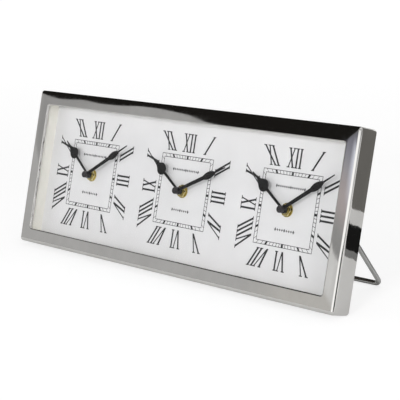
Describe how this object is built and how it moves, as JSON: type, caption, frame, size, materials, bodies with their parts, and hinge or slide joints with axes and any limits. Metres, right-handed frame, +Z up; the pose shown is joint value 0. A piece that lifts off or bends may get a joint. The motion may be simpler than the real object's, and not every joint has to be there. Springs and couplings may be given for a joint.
{
  "type": "world time clock",
  "caption": "Long free-standing table clock: square quartz dials side by side behind one glass, in a polished metal case on a folding wire stand.",
  "frame": {"origin": "on the floor, under the middle of the clock's box with its stand open", "axes": "+X to the clock's right as its dials are read, +Y toward its back and stand, +Z up"},
  "size_m": [0.419, 0.115, 0.1588],
  "materials": {
    "polished_case": "polished nickel plate",
    "clear_glass": "clear float glass",
    "liner_paint": "cream painted wood",
    "dial_paper": "printed matt paper",
    "board_fibre": "fibreboard",
    "bright_steel": "nickel plated steel",
    "turned_brass": "turned brass",
    "black_hands": "satin black paint",
    "black_plastic": "fine moulded texture",
    "white_plastic": "moulded acetal",
    "black_rubber": "matt",
    "cell_can": "wrapped cell",
    "circuit_green": "solder mask",
    "copper_winding": "enamelled copper wire"
  },
  "bodies": {
    "root": {"bezel_frame": "polished_case", "glass_pane": "clear_glass", "liner_frame": "liner_paint", "dial_sheet": "dial_paper", "dial_board": "board_fibre", "board_screws": "bright_steel", "dial_nuts": "turned_brass", "dial_washers": "turned_brass", "rubber_washers": "black_rubber", "stand_bracket_left": "bright_steel", "stand_bracket_right": "bright_steel", "bracket_screws": "bright_steel", "left_movement_case": "black_plastic", "left_movement_cover": "black_plastic", "left_threaded_bush": "turned_brass", "left_battery_contacts": "bright_steel", "left_circuit_board": "circuit_green", "left_stator": "bright_steel", "left_motor_coil": "copper_winding", "middle_movement_case": "black_plastic", "middle_movement_cover": "black_plastic", "middle_threaded_bush": "turned_brass", "middle_battery_contacts": "bright_steel", "middle_circuit_board": "circuit_green", "middle_stator": "bright_steel", "middle_motor_coil": "copper_winding", "right_movement_case": "black_plastic", "right_movement_cover": "black_plastic", "right_threaded_bush": "turned_brass", "right_battery_contacts": "bright_steel", "right_circuit_board": "circuit_green", "right_stator": "bright_steel", "right_motor_coil": "copper_winding"},
    "stand": {"stand_wire": "bright_steel"},
    "left_minute": {"left_centre_wheel": "white_plastic", "left_minute_hand": "black_hands", "left_cap_nut": "black_hands"},
    "left_hour": {"left_hour_wheel": "white_plastic", "left_hour_hand": "black_hands"},
    "left_setting": {"left_minute_wheel": "white_plastic", "left_set_knob": "black_plastic"},
    "left_battery": {"left_battery": "cell_can"},
    "middle_minute": {"middle_centre_wheel": "white_plastic", "middle_minute_hand": "black_hands", "middle_cap_nut": "black_hands"},
    "middle_hour": {"middle_hour_wheel": "white_plastic", "middle_hour_hand": "black_hands"},
    "middle_setting": {"middle_minute_wheel": "white_plastic", "middle_set_knob": "black_plastic"},
    "middle_battery": {"middle_battery": "cell_can"},
    "right_minute": {"right_centre_wheel": "white_plastic", "right_minute_hand": "black_hands", "right_cap_nut": "black_hands"},
    "right_hour": {"right_hour_wheel": "white_plastic", "right_hour_hand": "black_hands"},
    "right_setting": {"right_minute_wheel": "white_plastic", "right_set_knob": "black_plastic"},
    "right_battery": {"right_battery": "cell_can"}
  },
  "joints": [
    {"name": "stand_fold", "type": "hinge", "parent": "root", "child": "stand", "pos_m": [0, -0.01086, 0.0914], "axis": [-1, 0, 0], "range_deg": [0, 50.5]},
    {"name": "left_minute_turn", "type": "hinge", "parent": "root", "child": "left_minute", "pos_m": [-0.13, -0.01771, 0.07714], "axis": [0, 0.9703, -0.2419], "continuous": true},
    {"name": "left_hour_turn", "type": "hinge", "parent": "root", "child": "left_hour", "pos_m": [-0.13, -0.01771, 0.07714], "axis": [0, 0.9703, -0.2419], "continuous": true},
    {"name": "left_setting_turn", "type": "hinge", "parent": "root", "child": "left_setting", "pos_m": [-0.13, -0.01602, 0.08393], "axis": [0, 0.9703, -0.2419], "continuous": true},
    {"name": "left_battery_slide", "type": "slide", "parent": "root", "child": "left_battery", "axis": [0, 0.9703, -0.2419], "range_m": [0, 0.02]},
    {"name": "middle_minute_turn", "type": "hinge", "parent": "root", "child": "middle_minute", "pos_m": [0, -0.01771, 0.07714], "axis": [0, 0.9703, -0.2419], "continuous": true},
    {"name": "middle_hour_turn", "type": "hinge", "parent": "root", "child": "middle_hour", "pos_m": [0, -0.01771, 0.07714], "axis": [0, 0.9703, -0.2419], "continuous": true},
    {"name": "middle_setting_turn", "type": "hinge", "parent": "root", "child": "middle_setting", "pos_m": [0, -0.01602, 0.08393], "axis": [0, 0.9703, -0.2419], "continuous": true},
    {"name": "middle_battery_slide", "type": "slide", "parent": "root", "child": "middle_battery", "axis": [0, 0.9703, -0.2419], "range_m": [0, 0.02]},
    {"name": "right_minute_turn", "type": "hinge", "parent": "root", "child": "right_minute", "pos_m": [0.13, -0.01771, 0.07714], "axis": [0, 0.9703, -0.2419], "continuous": true},
    {"name": "right_hour_turn", "type": "hinge", "parent": "root", "child": "right_hour", "pos_m": [0.13, -0.01771, 0.07714], "axis": [0, 0.9703, -0.2419], "continuous": true},
    {"name": "right_setting_turn", "type": "hinge", "parent": "root", "child": "right_setting", "pos_m": [0.13, -0.01602, 0.08393], "axis": [0, 0.9703, -0.2419], "continuous": true},
    {"name": "right_battery_slide", "type": "slide", "parent": "root", "child": "right_battery", "axis": [0, 0.9703, -0.2419], "range_m": [0, 0.02]}
  ],
  "couplings": [
    {"joint": "left_hour_turn", "follows": "left_minute_turn", "ratio": 0.083333},
    {"joint": "left_setting_turn", "follows": "left_minute_turn", "ratio": -0.33333},
    {"joint": "middle_hour_turn", "follows": "middle_minute_turn", "ratio": 0.083333},
    {"joint": "middle_setting_turn", "follows": "middle_minute_turn", "ratio": -0.33333},
    {"joint": "right_hour_turn", "follows": "right_minute_turn", "ratio": 0.083333},
    {"joint": "right_setting_turn", "follows": "right_minute_turn", "ratio": -0.33333}
  ]
}
